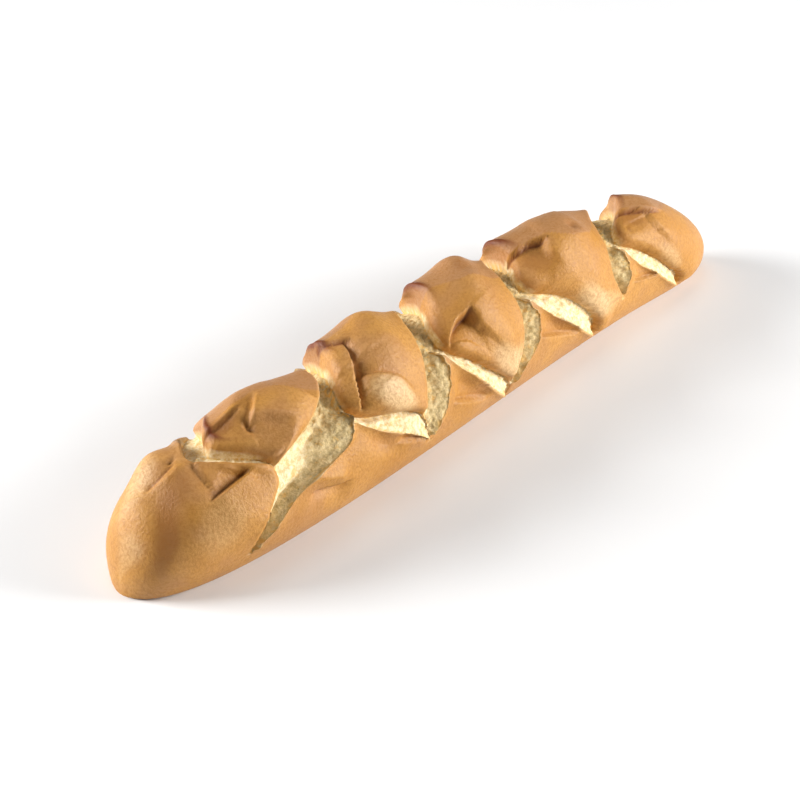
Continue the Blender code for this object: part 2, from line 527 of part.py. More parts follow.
def loaf_mesh():
    """The skin, closed by a fan at each tip. Rows that run together become one corner."""
    share, angle = grid()
    points = skin(share, angle)
    count = share.size
    index = np.arange(count).reshape(share.shape)
    apart = np.ones(share.shape, bool)
    apart[1:] = np.linalg.norm(points[1:] - points[:-1], axis=-1) > least_gap * mm
    keep = np.maximum.accumulate(np.where(apart, index, -1), axis=0)
    beside = np.roll(keep, -1, axis=1)
    quads = np.stack([keep[:-1], keep[1:], beside[1:], beside[:-1]], -1).reshape(-1, 4)
    near = quads[:, 0] != quads[:, 1]
    far = quads[:, 2] != quads[:, 3]
    faces = quads[near & far].tolist()
    faces += quads[near & ~far][:, [0, 1, 2]].tolist()
    faces += quads[~near & far][:, [1, 2, 3]].tolist()
    faces += [(count, int(a), int(b)) for a, b in zip(keep[0], beside[0])]
    faces += [(count + 1, int(b), int(a)) for a, b in zip(keep[-1], beside[-1])]
    tips = [points[0].mean(axis=0), points[-1].mean(axis=0)]
    corners = np.concatenate([points.reshape(-1, 3), tips])
    used = np.unique(np.concatenate([keep.ravel(), [count, count + 1]]))
    renumber = np.zeros(count + 2, np.int64)
    renumber[used] = np.arange(len(used))
    mesh = bpy.data.meshes.new("loaf")
    mesh.from_pydata(corners[used].tolist(), [], [[int(renumber[v]) for v in face] for face in faces])
    mesh.update()
    return mesh


for thing in list(bpy.data.objects):
    bpy.data.objects.remove(thing)

crust = bpy.data.materials.new("crust")
crust.use_nodes = True
shader = crust.node_tree.nodes["Principled BSDF"]
shader.inputs["Base Color"].default_value = (0.56, 0.27, 0.09, 1)
shader.inputs["Roughness"].default_value = 0.5
shader.inputs["Metallic"].default_value = 0.0

loaf = bpy.data.objects.new("loaf", loaf_mesh())
bpy.context.collection.objects.link(loaf)

# the fine skin is thinned where it is smooth, so that its folds keep the most faces
thin = loaf.modifiers.new("thin", "DECIMATE")
thin.ratio = kept_share
bpy.context.view_layer.update()
thinned = bpy.data.meshes.new_from_object(loaf.evaluated_get(bpy.context.evaluated_depsgraph_get()))
loaf.modifiers.clear()

# the underside is set level, then the loaf is moved so that its origin is under its middle
corners = np.array([v.co for v in thinned.vertices])
corners[corners[:, 2] < level_height * mm, 2] = 0.0
middle = (corners.min(axis=0) + corners.max(axis=0)) / 2
corners[:, :2] -= middle[:2]
thinned.vertices.foreach_set("co", corners.ravel())
thinned.update()
thinned.shade_smooth()
thinned.materials.append(crust)
loaf.data = thinned
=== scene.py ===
import math
import bpy
import numpy as np
from mathutils import Matrix, Vector


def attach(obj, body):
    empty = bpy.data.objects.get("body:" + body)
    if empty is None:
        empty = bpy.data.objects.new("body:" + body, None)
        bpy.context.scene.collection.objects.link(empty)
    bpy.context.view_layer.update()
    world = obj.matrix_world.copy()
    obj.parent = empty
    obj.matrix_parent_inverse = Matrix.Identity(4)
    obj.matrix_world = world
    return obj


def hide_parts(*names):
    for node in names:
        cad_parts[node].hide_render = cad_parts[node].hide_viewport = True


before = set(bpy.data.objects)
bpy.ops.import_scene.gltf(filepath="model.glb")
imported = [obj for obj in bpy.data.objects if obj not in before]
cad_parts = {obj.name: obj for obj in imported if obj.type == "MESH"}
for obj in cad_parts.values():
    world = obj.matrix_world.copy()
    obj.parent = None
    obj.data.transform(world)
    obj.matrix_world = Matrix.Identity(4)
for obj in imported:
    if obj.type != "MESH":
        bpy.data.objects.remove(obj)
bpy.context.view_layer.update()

mm = 0.001

# Places on the loaf are (x, angle): millimetres along it from its middle, with the near end
# negative, and degrees round it, 0 at the front, 90 on top, 180 at the back.

bodyShape = {
    "halfLong": 210.0,
    "halfWide": 28.9,       # before the swell in the middle
    "swell": 0.185,
    "taper": -0.128,        # narrower toward the far end
    "tallShare": 0.87,      # height over width
    "bellyShare": 0.42,     # height of the widest line over the whole height
    "noseShare": 0.20,      # height of the far tip over the whole height
    "nearNose": 0.10,       # the same for the near tip
    "farShort": 4.8,        # how much shorter the far half is, beyond shortFrom
    "shortFrom": 150.0,
    "endPower": 9.35,       # how blunt the two ends are
    "nearNoseFrom": 0.5,    # share of the near half from which the tip's height changes
    "bow": 1.6,
    "skew": 12.9,
    "skewBack": -12.7,
    "farSkew": -3.0,        # beyond farSkewFrom, a share of the far half
    "farSkewFrom": 0.6,
    "underPower": 0.5,
    "underDepth": 1.35,     # depth of the curve below the widest line, before it is cut off flat
    "sole": 4.0,            # how softly the side turns into the flat underside
    "perDegree": 0.6,       # millimetres of skin per degree round the loaf
    "holdAngles": (-48, -20),       # the crust's forms fade out below these angles
    "leastCap": 0.2,        # an ear's lean is held back toward the tips, but not below this
}

# Lines along which the crust is torn, in order from the near end: x at each angle. Between two of
# them lies a block of the skin: near end, tear, lobe, tear, tooth, tear, lobe and so on. A tooth
# is the three-cornered piece of the lower side that stands between two arms of a tear.
tearLines = [
    {"name": "nearEndEdge", "ragged": 0.25, "line": [
        (-163, -26), (-159, -17), (-156, 0), (-150, 12), (-143, 21), (-137, 31), (-136, 42), (-139, 49),
        (-147, 55), (-151, 62), (-156, 68), (-160, 73), (-165, 79), (-168, 87), (-167, 97), (-160, 112),
        (-155, 135), (-138, 157), (-152, 178), (-160, 200)]},
    {"name": "lobe1Near", "ragged": 0.5, "line": [
        (-163, -26), (-136, 44), (-137, 50), (-139, 55), (-142, 60), (-146, 66), (-149, 71), (-152, 76),
        (-156, 82), (-156, 90), (-154, 98), (-146, 113), (-143, 136), (-132, 156), (-152, 178),
        (-160, 200)]},
    {"name": "lobe1Far", "ragged": 0.3, "line": [
        (-163, -26), (-136, 44), (-123, 51), (-113, 55), (-105, 60), (-98, 66), (-93, 72), (-89, 81),
        (-88, 92), (-88, 112), (-94, 135), (-108, 150), (-131, 157), (-152, 178), (-158, 196)]},
    {"name": "tooth2Left", "ragged": 0.8, "line": [
        (-163, -26), (-158, -16), (-152, -6), (-145, 2), (-138, 9), (-132, 15), (-124, 19), (-115, 22),
        (-95, 27), (-89, 33), (-86, 41), (-87, 60), (-84, 80), (-82, 96), (-82, 115), (-83, 128),
        (-100, 147), (-124, 159), (-150, 178), (-158, 196)]},
    {"name": "tooth2Right", "ragged": 0.35, "line": [
        (-38, -12), (-47, 0), (-58, 11), (-66, 18), (-74, 26), (-84, 37), (-87, 46), (-86, 60),
        (-83, 80), (-81, 96), (-81, 115), (-81, 128), (-66, 153), (-46, 176), (-38, 190)]},
    {"name": "lobe2Near", "ragged": 0.5, "line": [
        (-38, -12), (-41, 5), (-42, 14), (-48, 22), (-58, 29), (-66, 33), (-74, 37), (-80, 42),
        (-85, 52), (-85, 62), (-80, 84), (-74, 100), (-70, 120), (-69, 135), (-60, 155), (-42, 176),
        (-38, 190)]},
    {"name": "lobe2Far", "ragged": 0.12, "line": [
        (-38, -12), (-41, 5), (-41, 13), (-40, 19), (-39, 26), (-37, 33), (-35, 42), (-32, 52),
        (-30, 63), (-27, 80), (-23, 93), (-17, 112), (-16, 140), (-26, 160), (-40, 176), (-38, 190)]},
    {"name": "tooth3Left", "ragged": 0.8, "line": [
        (-38, -12), (-35, -5), (-32, 1), (-27, 11), (-23, 20), (-20, 29), (-18, 36), (-19, 45),
        (-20, 60), (-21, 75), (-19, 90), (-12, 106), (-8, 125), (-12, 140), (-22, 158), (-37, 176),
        (-38, 190)]},
    {"name": "tooth3Right", "ragged": 0.35, "line": [
        (24, -30), (21, -20), (15, -11), (5, 6), (-2, 19), (-8, 28), (-13, 35), (-17, 45), (-19, 60),
        (-20, 75), (-18, 90), (-11, 106), (-6, 125), (-3, 140), (11, 160), (26, 180), (34, 192)]},
    {"name": "lobe3Near", "ragged": 0.5, "line": [
        (24, -30), (26, -16), (22, -3), (13, 10), (5, 23), (-1, 33), (-7, 41), (-11, 47), (-14, 56),
        (-13, 72), (-6, 90), (1, 108), (4, 140), (16, 160), (30, 180), (34, 192)]},
    {"name": "lobe3Far", "ragged": 0.12, "line": [
        (26, -20), (27, -10), (29, 1), (34, 14), (38, 27), (40, 38), (41, 50), (40, 62), (41, 75),
        (42, 88), (48, 100), (50, 115), (48, 145), (38, 165), (31, 180), (35, 192)]},
    {"name": "tooth4Left", "ragged": 0.8, "line": [
        (26, -20), (29, -11), (33, -5), (37, 2), (44, 8), (49, 17), (52, 26), (53, 35), (50, 45),
        (49, 60), (48, 75), (51, 88), (56, 100), (59, 120), (50, 147), (41, 166), (33, 180), (35, 192)]},
    {"name": "tooth4Right", "ragged": 0.35, "line": [
        (98, -24), (92, -16), (82, -1), (71, 15), (64, 26), (57, 36), (52, 46), (50, 60), (49, 75),
        (52, 88), (57, 100), (61, 120), (65, 145), (78, 165), (90, 178), (100, 190)]},
    {"name": "lobe4Near", "ragged": 0.5, "line": [
        (98, -24), (99, -10), (96, 1), (89, 15), (82, 29), (76, 37), (70, 44), (64, 49), (58, 55),
        (55, 63), (55, 72), (59, 84), (61, 99), (64, 118), (67, 145), (82, 165), (94, 178), (100, 190)]},
    {"name": "lobe4Far", "ragged": 0.12, "line": [
        (119, -2), (119, 4), (115, 18), (113, 31), (114, 44), (116, 56), (117, 67), (119, 77),
        (122, 84), (128, 95), (133, 115), (128, 150), (120, 168), (120, 178)]},
    {"name": "tooth5Left", "ragged": 0.8, "line": [
        (119, -2), (119, 5), (121, 12), (126, 20), (128, 29), (127, 39), (126, 48), (126, 58),
        (127, 70), (131, 84), (135, 98), (138, 115), (138, 128), (130, 150), (122, 168), (120, 178)]},
    {"name": "tooth5Right", "ragged": 0.35, "line": [
        (169, -26), (165, -19), (161, -13), (152, 2), (143, 17), (136, 28), (130, 38), (127, 48),
        (127, 58), (128, 70), (132, 84), (136, 98), (140, 115), (142, 128), (147, 148), (158, 170),
        (166, 182)]},
    {"name": "lobe5Near", "ragged": 0.5, "line": [
        (169, -26), (169, -11), (163, 1), (157, 13), (151, 25), (145, 36), (139, 45), (133, 53),
        (131, 61), (136, 76), (142, 86), (150, 99), (157, 125), (159, 148), (163, 170), (166, 182)]},
]

# blocks in order: kind and rows, and for a tear the height of its crumb below its two edges: at
# its first edge, at its lowest place, at its last edge, and where its lowest place is
blocks = [
    ("end", 54), ("tear", 12, -0.3, -1.8, -1.4, 0.6), ("lobe", 54),
    ("tear", 24, -0.6, -5.2, 1.9, 0.42), ("tooth", 34), ("tear", 13, 1.4, -3.6, -3.8, 0.9), ("lobe", 52),
    ("tear", 16, -1.6, -4.4, 1.9, 0.14), ("tooth", 20), ("tear", 13, 1.4, -3.6, -3.8, 0.9), ("lobe", 52),
    ("tear", 16, -1.6, -4.6, 1.9, 0.14), ("tooth", 23), ("tear", 13, 1.4, -3.8, -4.0, 0.9), ("lobe", 52),
    ("tear", 14, -1.6, -4.6, 1.9, 0.14), ("tooth", 18), ("tear", 12, 1.2, -3.4, -3.6, 0.9), ("lobe", 56),
]

# each lobe's dome: the line of its ridge, its height, how far its ear leans and at which angle
# its tip is, its spread at the front, the share of its height that its steep face takes away from
# the ear and under it, and over which shares it closes toward the far edge and by how much
lobes = [
    {"ridge": [
         (-126, 43), (-118, 55), (-120, 68), (-130, 80), (-138, 90), (-128, 98), (-122, 116),
         (-116, 145), (-108, 160)],
     "high": 10.0, "lean": 1.5, "spread": 46, "cliff": 0.30, "wall": 0.35, "tip": 103,
     "close": (0.55, 1.02, 0.52)},
    {"ridge": [
         (-36, 4), (-48, 15), (-60, 29), (-70, 42), (-64, 60), (-59, 74), (-56, 84), (-52, 91),
         (-48, 98), (-48, 122), (-46, 150), (-34, 172)],
     "high": 13.5, "lean": 5.0, "spread": 48, "cliff": 0.32, "wall": 0.60, "tip": 114,
     "close": (0.55, 1.02, 0.52)},
    {"ridge": [
         (34, -6), (30, 10), (27, 24), (24, 36), (14, 58), (14, 66), (18, 76), (19, 84), (20, 91),
         (21, 98), (20, 122), (24, 150), (36, 172)],
     "high": 12.6, "lean": 7.0, "spread": 48, "cliff": 0.30, "wall": 0.66, "tip": 113,
     "close": (0.55, 1.02, 0.52)},
    {"ridge": [
         (100, 6), (94, 20), (88, 34), (82, 48), (80, 60), (84, 72), (85, 84), (86, 90), (88, 95),
         (90, 102), (88, 124), (90, 150), (96, 172)],
     "high": 13.5, "lean": 8.0, "spread": 44, "cliff": 0.22, "wall": 0.74, "tip": 112,
     "close": (0.55, 1.02, 0.52)},
    {"ridge": [
         (172, 0), (168, 20), (165, 36), (161, 52), (160, 66), (163, 76), (160, 84), (154, 90),
         (149, 97), (152, 112), (150, 132), (164, 152), (172, 170)],
     "high": 9.0, "lean": 3.0, "spread": 46, "cliff": 0.25, "wall": 0.66, "tip": 110,
     "close": (0.25, 1.0, 1.0)},
]

# rounded bumps and hollows: middle, half length, half width, turn, height
bumps = [
    # near end
    ((-191, 66), 7, 28, -6, -3.4), ((-177, 117), 12, 12, -10, 6.5), ((-158, 18), 17, 9, -25, 2.4),
    ((-173, 98), 2.2, 1.4, 0, -2.2),
    # first lobe
    ((-118, 56), 20, 6, 8, 1.2), ((-108, 76), 13, 10, 0, 1.6), ((-124, 96), 14, 5, -20, 1.8),
    ((-147, 82), 10, 7, -40, -2.4), ((-137, 77), 2.6, 2.0, 60, -3.6),
    # second lobe
    ((-78, 80), 9, 7, -70, 2.5), ((-44, 84), 16, 12, 0, 1.0), ((-44, 104), 9, 8, 0, 2.2),
    ((-61, 42), 13, 6, -35, 2.0), ((-73, 64), 3.5, 2.2, 60, -2.0),
    # third lobe
    ((22, 86), 5, 3, 0, -1.4), ((30, 72), 15, 14, 0, 1.2), ((25, 100), 9, 9, 0, 3.5),
    ((24, 30), 9, 7, -50, 1.4), ((3, 50), 9, 6, -50, -1.6),
    # fourth lobe
    ((66, 74), 7, 7, -40, -0.8), ((98, 66), 16, 13, 0, 1.4), ((98, 76), 3.2, 2.4, 0, -1.8),
    ((98, 32), 12, 8, -50, 1.2),
    # fifth lobe
    ((146, 66), 7, 7, -40, -0.8), ((170, 95), 16, 12, 0, -2.0),
    # pockets of the teeth under their lips
    ((-72, 14), 10, 4.5, -40, -2.4), ((-8, 14), 10, 4.5, -45, -2.8), ((64, 18), 10, 5, -50, -2.8),
    ((139, 22), 8, 4.5, -50, -2.4), ((-112, 2), 12, 4, -25, -1.4),
]

# folds: the line, height and reach of its left side, of its right side, width of its edge, the shares over
# which it starts and ends, and how dark its low side is painted beside the line, over the reach set below:
# partly toasted crust, partly painted shade in the crease
creaseShadeReach = 1.3
folds = [
    # near end: edge of the flap, its groove, the wedge, the pocket's crease and the roll of crust
    ([(-168, 90), (-180, 86), (-190, 95), (-200, 122), (-203, 145)], 2.4, 11, 1.9, 6, 0.35, 0.1, 0.4, 0),
    ([(-190, 98), (-182, 92), (-171, 93)], -1.6, 2.4, -0.8, 1.4, 0.5, 0.2, 0.2, 0.5),
    ([(-167, 84), (-168, 70), (-168, 56), (-166, 42)], 1.2, 8, -1.2, 7, 0.5, 0.1, 0.5, 0),
    ([(-146, 52), (-153, 50), (-163, 48), (-174, 45)], 2.2, 7, -4.0, 8, 0.6, 0.2, 0.35, 0.3),
    ([(-160, 67), (-152, 55), (-144, 47), (-137, 36)], 1.6, 3.2, -1.0, 5, 0.8, 0.1, 0.3, 0),
    # first lobe: lip of its ear, the fold down to the pit, the shadow line, the top facet's edge
    ([(-157, 98), (-149, 92), (-142, 90), (-130, 90)], 1.4, 7, -1.2, 5, 0.5, 0.05, 0.4, 0.45),
    ([(-124, 91), (-129, 84), (-135, 79), (-138, 75)], 2.2, 4, -2.0, 3, 0.5, 0.3, 0.1, 0.1),
    ([(-138, 77), (-132, 75), (-128, 72), (-122, 67), (-114, 63)], 1.6, 7, -2.0, 6, 0.8, 0.05, 0.6, 0),
    ([(-136, 94), (-125, 89)], -0.8, 1.5, -0.8, 1.5, 0.4, 0.2, 0.2, 0.2),
    ([(-118, 92), (-108, 81), (-102, 72), (-97, 66)], -1.6, 7, 1.0, 4, 0.5, 0.3, 0.3, 0),
    # second lobe: the fold beside the tongue, the upper edge of the pale bulge
    ([(-64, 92), (-67, 84), (-70, 75), (-74, 65), (-78, 55), (-80, 44)],
     -3.6, 4, 0.8, 4, 0.35, 0.2, 0.1, 0.6),
    ([(-71, 106), (-69, 98), (-66, 91), (-61, 85)], 1.6, 5, -1.4, 3, 0.35, 0.1, 0.3, 1.0),
    ([(-74, 66), (-65, 59), (-56, 53), (-51, 45), (-48, 33)], -2.0, 7, 1.6, 9, 0.5, 0.1, 0.4, 0.1),
    # third lobe: lower edge of the top facet, lip over the hollow, ridge beside the scoop
    ([(-2, 92), (7, 85), (13, 80), (23, 77), (34, 73)], 2.6, 14, 2.6, 7, 0.4, 0.05, 0.5, 0),
    ([(8, 63), (4, 62), (0, 63), (-8, 57), (-11, 51), (-9, 43)], -6.0, 6, 1.2, 3, 0.5, 0.04, 0.6, 0.9),
    ([(6, 64), (7, 53), (12, 43), (18, 30), (23, 20)], 1.8, 9, -2.2, 6, 0.8, 0.04, 0.85, 0),
    # fourth lobe: curled edge of its sheet, the scoop's other side, edge of the flat top
    ([(57, 92), (61, 89), (64, 85), (71, 84), (75, 80), (80, 75)], 1.8, 7, -2.2, 14, 0.35, 0.1, 0.2, 1.0),
    ([(78, 79), (75, 72), (75, 64), (78, 52)], 1.0, 8, -1.2, 8, 0.6, 0.05, 0.5, 0.1),
    ([(77, 82), (81, 79), (85, 73), (92, 68), (106, 67), (114, 73)], 2.2, 12, 2.2, 6, 0.4, 0.1, 0.3, 0),
    # fifth lobe: edge of its sheet, the scoop's other side, streaks in the scoop
    ([(138, 87), (143, 81), (149, 76), (154, 71), (160, 67), (168, 67)],
     1.8, 8, -2.2, 13, 0.35, 0.05, 0.3, 1.0),
    ([(155, 69), (155, 56), (158, 45), (163, 32)], 1.0, 8, -1.4, 8, 0.5, 0.05, 0.5, 0.1),
    ([(141, 72), (140, 56)], -1.0, 1.5, -1.0, 1.0, 0.4, 0.2, 0.3, 0.4),
    ([(146, 70), (145, 55)], -0.8, 1.5, -0.8, 1.0, 0.4, 0.2, 0.3, 0.3),
    # teeth: rolls and creases
    ([(-129, 27), (-118, 20), (-109, 13), (-96, 5)], 2.8, 4.5, 2.8, 3.5, 1.2, 0.2, 0.2, 0),
    ([(-122, 9), (-108, 2), (-97, -1)], -0.4, 2, -4.4, 7, 0.35, 0.2, 0.1, 0.3),
    ([(-62, 6), (-48, -3), (-36, -15)], -3.0, 5, 1.2, 4, 0.4, 0.15, 0.2, 0.15),
    ([(-20, 9), (-7, -1), (8, -12)], -3.6, 6, 1.4, 4, 0.4, 0.15, 0.2, 0.2),
    ([(50, 15), (66, 5), (84, -8)], -3.2, 6, 1.4, 4, 0.4, 0.15, 0.2, 0.2),
    ([(129, 13), (139, 9), (150, 7)], -2.4, 4, 1.4, 5, 0.4, 0.2, 0.2, 0.2),
]

# lower edge of each lobe's flat top, angle at each x: the skin above it is painted pinker and duller, a
# painted shade for the dimmer light on the top
topShadeLines = [
    [(-156, 120), (-148, 96), (-125, 92), (-108, 82), (-95, 72), (-88, 66)],
    [(-80, 120), (-72, 100), (-50, 100), (-30, 110)],
    [(-4, 100), (-2, 92), (7, 85), (13, 80), (23, 77), (34, 73), (44, 72)],
    [(58, 94), (64, 87), (74, 83), (80, 79), (85, 73), (92, 68), (106, 67), (114, 73), (122, 84)],
    [(138, 90), (149, 76), (160, 67), (168, 68), (178, 84), (190, 100)],
]

# paler skin where the crust opened late, with painted highlights on the near end, and browner skin, mostly
# painted shade: middle, half length, half width, turn, amount
# the first three pale spots are painted highlights where the near end's left side, its flap and its right
# side catch the light; the rest are paler crust that opened late beside the tears
lateCrustAndHighlight = [
    ((-206, 72), 4.5, 20, 0, 0.45), ((-188, 113), 15, 9.5, 12, 0.5), ((-172, 24), 13, 17, -30, 0.36),
    ((-61, 42), 14, 6.5, -35, 1.0), ((22, 14), 14, 7, -50, 0.8), ((93, 18), 14, 8, -50, 0.8),
    ((105, 8), 16, 8, -20, 0.5), ((160, 20), 12, 6, -60, 0.5), ((34, 12), 10, 8, -20, 0.5),
]
# the brown spots are mostly painted shade: the dark band where the near end faces the camera between the
# two lights, the teeth's pockets under their lips, the scoops and the hollows; a little of it is darker
# baked crust
browningAndShade = [
    ((-194, 42), 6.5, 26, -18, 0.8), ((-72, 13), 11, 5, -38, 0.38), ((-7, 12), 10, 5, -42, 0.3),
    ((66, 15), 10, 5, -45, 0.3), ((141, 15), 9, 5, -45, 0.42), ((-77, 78), 4, 7, 0, 0.3),
    ((-179, 74), 6, 10, -18, 0.5), ((-139, 74), 5, 3, -30, 0.4), ((-147, 90), 9, 4, -20, 0.8),
    ((68, 71), 9, 6, -45, 0.6), ((147, 69), 9, 5, -40, 0.6), ((22, 88), 5, 3, 0, 0.5),
    ((98, 76), 3.5, 2.6, 0, 0.5), ((-71, 66), 3, 5, 0, 0.5),
]

tornEdge = {
    "roundOver": (-4, -2.4, -0.8, 0.8, 2.4, 4),    # degrees over which its corners are rounded
    # its wiggles, coarse and fine: degrees between them, step from line to line, seed and weight
    "wiggles": ((3.0, 7.3, 5, 1.0), (1.3, 3.1, 6, 0.6)),
    "calmShare": 0.9,               # a lobe's near edge is this much straighter on the top
    "calmAngles": (48, 62),
    "openWidths": (0.2, 2.5),       # widths at which a tear begins to gape and gapes fully
}

lobeShape = {
    "ridgeGaps": (3, 6, 4),         # least way from the near edge to the ridge, ridge to far edge, both
    "fadeWidths": (1, 9),           # a lobe fades out where its two edges are this close
    "wallRun": 9,                   # length along the loaf of a lobe's steep face
    "earWallRun": 4.5,              # the same under its ear
    "wallSpread": 30,               # degrees round the ear over which the face is steeper
    "crispWall": 0.5,               # a higher wall than this ends in a crisp lip under a flat flap
    "crispAngles": (72, 94, 130, 150),
    "crispPower": 0.85,
    "flapPower": 0.75,
    "straightShare": 0.3,           # how straight the skin rises to the ridge beside the flap
    "backAngles": (94, 112),        # the far part sinks more and sooner behind these
    "backDrop": 0.30,
    "backSooner": 0.15,
    "crest": 84,                    # angle of the lobe's highest line
    "rearSpread": 38,
    "acrossPower": 2.2,
    "cornerPower": 1.6,             # the ear ends in a squarer corner, over this reach
    "cornerReach": 10,
    "frontLoss": 0.1,               # the near part is this much lower, up to a share of the way
    "frontLossEnd": 0.45,
    "earReach": 9,
    "earSpread": 20,
    "earSwell": 0.4,
    "earSwellRun": (1, 6),
    "edgeStep": 2.2,                # height of the skin over its torn edges
    "nearStepReach": 1.8,
    "farStepReach": 0.7,
    "stepShares": (0.25, 0.75),     # the near edge's step gives way to the far edge's over this share
    "backEdgeLoss": 0.8,
    "footDepth": 2.6,               # groove at the foot of the wall
    "footReach": 1.6,
    "footAngles": (86, 100),
    "lipHigh": 0.6,                 # lip along the top of the ear's wall, and the ear's burnt edge
    "lipReach": 0.9,
    "lipAhead": 6,
    "lipSpread": 15,
    "burntShare": 1.6,
    "burntReach": 1.3,
    "rimReach": 0.8,                # pale rim along the far edge
    # torn crumb low on the wall: least width, what is usually added, its change, degrees between
    # changes, seed, softness of its edge
    "crumbStrip": (0.2, 0.5, 0.25, 5.0, 9, 0.4),
    "crumbStripFade": 0.2,
    "crumbFrom": (50, 60),
    "crumbUntil": (80, 96),
    # the top's pinker skin is painted shade for the dimmer light on the flat top
    "topShadeEdge": 0.8,               # degrees over which the top's pinker skin sets in and fades again
    "topShadeFade": (20, 55),
}

crumbShape = {
    "channel": (4.2, 2.2, 112, 20),     # depth over the top, what is added where it is deepest, its spread
    "channelFront": (44, 60),       # angles over which the side's tears turn into the channel
    "channelBack": (134, 156),
    "lastEven": 3,                  # blocks after this are shallow where a lobe's two edges meet
    "shallowShare": 0.3,
    "shallowWidth": 9,
    "cornerLift": -1.6,             # height of the crumb where a lobe has no width between its tears
    "crumbWidth": 0.6,              # width at which a tear is crumb from edge to edge
    # its crags, coarse and fine: height, millimetres along, degrees round, seed
    "crags": ((0.7, 2.6, 4.4, 11), (0.55, 1.1, 2.2, 12)),
    "cragEnds": 0.12,
    # painted shade on the crumb, greyer where it lies deep: the channel over the top, and from these shares
    # of the way to the lowest place
    "tearShadeTop": 0.8,
    "tearShadeShares": (0.5, 1.6),
    "lastUnshaded": 1,                # blocks after this have it
    # golden flakes: reach from the edge, millimetres along, degrees round, seed, softness
    "flake": (1.2, 0.9, 2.0, 21, 0.4),
}

toothShape = {
    "lip": 2.2,                     # lips along a tooth's two torn edges
    "leftReach": 2.6,
    "rightReach": 3.2,
    "sink": 4.264,                  # a tooth's point is sunk to the channel's crumb
    "rimReach": 0.5,
    "rightRim": 0.8,
    "endLip": 1.2,                  # lip along the near end's torn edge
    "endReach": 4.0,
}


def step(low, high, value):      # 0 below low, 1 above high, and 3 t squared less 2 t cubed between
    t = np.clip((value - low) / (high - low), 0.0, 1.0)
    return t * t * (3.0 - 2.0 * t)


def bell(value, middle, spread):      # e to minus the square of the way from the middle over the spread
    return np.exp(-((value - middle) / spread) ** 2)


def patches(x, y, seed):
    # soft random field from -1 to 1: each unit square's four corners have hashed values, and a
    # point between them takes their mean, weighted by the cubic step of its share of each side
    i, j = np.floor(x).astype(np.int64), np.floor(y).astype(np.int64)
    u, v = step(0, 1, x - i), step(0, 1, y - j)

    def corner(a, b):      # the corner's whole numbers, multiplied, mixed and cut to 16 bits
        h = (a * 374761393 + b * 668265263 + seed * 974634777) & 0xFFFFFFFF
        h = ((h ^ (h >> 13)) * 1274126177) & 0xFFFFFFFF
        return ((h ^ (h >> 16)) & 0xFFFF) / 32767.5 - 1.0
    low = corner(i, j) * (1 - u) + corner(i + 1, j) * u
    high = corner(i, j + 1) * (1 - u) + corner(i + 1, j + 1) * u
    return low * (1 - v) + high * v


def placeAt(line, angle):
    # where a line stands along the loaf at each angle: the mean of its places a few degrees
    # before and behind, so that its corners are rounded
    ordered = sorted((a, x) for x, a in line)
    angles, places = [a for a, x in ordered], [x for a, x in ordered]
    turns = tornEdge["roundOver"]
    return sum(np.interp(angle + turn, angles, places) for turn in turns) / len(turns)


def tornEdges(angle):
    # where each block of the skin begins and ends at each angle: the near tip, the torn lines,
    # each with its wiggles and never before the line ahead of it, and the far tip
    edges = [np.full(angle.shape, -bodyShape["halfLong"])]
    for k, tear in enumerate(tearLines):
        besideLobe = tear["name"].endswith("Near")
        calm = 1 - tornEdge["calmShare"] * step(*tornEdge["calmAngles"], angle) * besideLobe
        wiggle = sum(weight * patches(angle / apart, np.full(angle.shape, k * between), seed)
                     for apart, between, seed, weight in tornEdge["wiggles"])
        place = placeAt(tear["line"], angle) + calm * tear["ragged"] * wiggle
        edges.append(np.maximum(place, edges[-1]))
    edges.append(np.full(angle.shape, bodyShape["halfLong"] - bodyShape["farShort"]))
    return edges


def rounded(line):      # the line with its corners cut twice, each time a quarter from both ends
    for again in range(2):
        cut = [line[0]]
        for a, b in zip(line, line[1:]):
            cut += [tuple(p * u + (1 - p) * v for u, v in zip(a, b)) for p in (0.75, 0.25)]
        line = cut + [line[-1]]
    return line


def foldLift(fold, x, angle):
    # The nearest place on the fold's line gives the distance, positive on its left, and the share
    # of its length. Each side's lift is its height times e to minus the distance over its reach.
    # Both fade at the line's ends, and the lower side is painted darker beside the line: partly toasted
    # crust, partly painted shade in the crease.
    corners, leftHigh, leftReach, rightHigh, rightReach, edge, starts, stops, toastAndCreaseShade = fold
    line = rounded(corners)
    perDegree = bodyShape["perDegree"]
    ways = [(b[0] - a[0], (b[1] - a[1]) * perDegree) for a, b in zip(line, line[1:])]
    lengths = [math.hypot(*way) for way in ways]
    nearest = np.full(x.shape, np.inf)
    signed, share = np.zeros(x.shape), np.zeros(x.shape)
    before = 0.0
    for (x0, a0), (dx, dy), long in zip(line, ways, lengths):
        px, py = x - x0, (angle - a0) * perDegree
        t = np.clip((px * dx + py * dy) / long ** 2, 0, 1)
        gap = np.hypot(px - t * dx, py - t * dy)
        closer = gap < nearest
        nearest = np.where(closer, gap, nearest)
        signed = np.where(closer, gap * np.sign(dx * py - dy * px), signed)
        share = np.where(closer, (before + t * long) / sum(lengths), share)
        before += long
    left = step(-edge, edge, signed)
    fade = step(0, starts, share) * step(0, stops, 1 - share)
    high = (left * leftHigh * np.exp(-np.maximum(signed, 0) / leftReach)
            + (1 - left) * rightHigh * np.exp(-np.maximum(-signed, 0) / rightReach))
    lower = left if leftHigh < rightHigh else 1 - left
    return fade * high, fade * toastAndCreaseShade * lower * bell(nearest, 0, creaseShadeReach)


def awayFrom(spot, x, angle):
    # squares of the way along and across a turned spot, each over its half size, added up
    (x0, a0), long, wide, turn = spot[:4]
    c, s = math.cos(math.radians(turn)), math.sin(math.radians(turn))
    px, py = x - x0, (angle - a0) * bodyShape["perDegree"]
    return ((px * c + py * s) / long) ** 2 + ((py * c - px * s) / wide) ** 2


